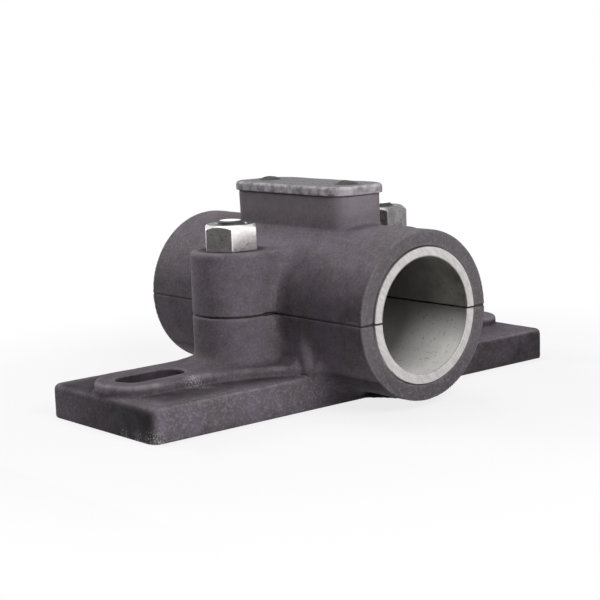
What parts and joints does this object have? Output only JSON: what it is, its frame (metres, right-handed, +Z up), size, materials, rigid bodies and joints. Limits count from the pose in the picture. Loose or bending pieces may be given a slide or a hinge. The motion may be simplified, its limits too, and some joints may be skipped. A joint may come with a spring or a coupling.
{
  "type": "pillow block bearing",
  "caption": "Split foot-mounted plain bearing block: cast base and bolted cap lined with bearing metal around a shaft bore, slotted foot, covered lubricant reservoir on top.",
  "frame": {"origin": "centre of the foot's flat underside, below the middle of the shaft bore", "axes": "+X along the foot from slot to slot, +Y along the shaft bore away from the viewer, +Z up"},
  "size_m": [0.228, 0.1456, 0.0942],
  "materials": {
    "casting": "sand-cast iron under a thin dark grey shop coat",
    "cover": "cast iron cover, grey shop coat worn lighter on its upper edge",
    "bearing_metal": "white bearing metal, bored and faced bright",
    "plated_steel": "bright plated steel",
    "shim": "thin rolled steel",
    "dark_screw": "oil-blacked steel"
  },
  "bodies": {
    "root": {"base_casting": "casting", "cap_casting": "casting", "lower_liner": "bearing_metal", "upper_liner": "bearing_metal", "left_shim_lower": "shim", "left_shim_upper": "shim", "right_shim_lower": "shim", "right_shim_upper": "shim", "left_cap_bolt": "plated_steel", "right_cap_bolt": "plated_steel", "left_cap_nut": "plated_steel", "right_cap_nut": "plated_steel", "reservoir_cover": "cover", "front_cover_screw": "dark_screw", "rear_cover_screw": "dark_screw"}
  },
  "joints": []
}
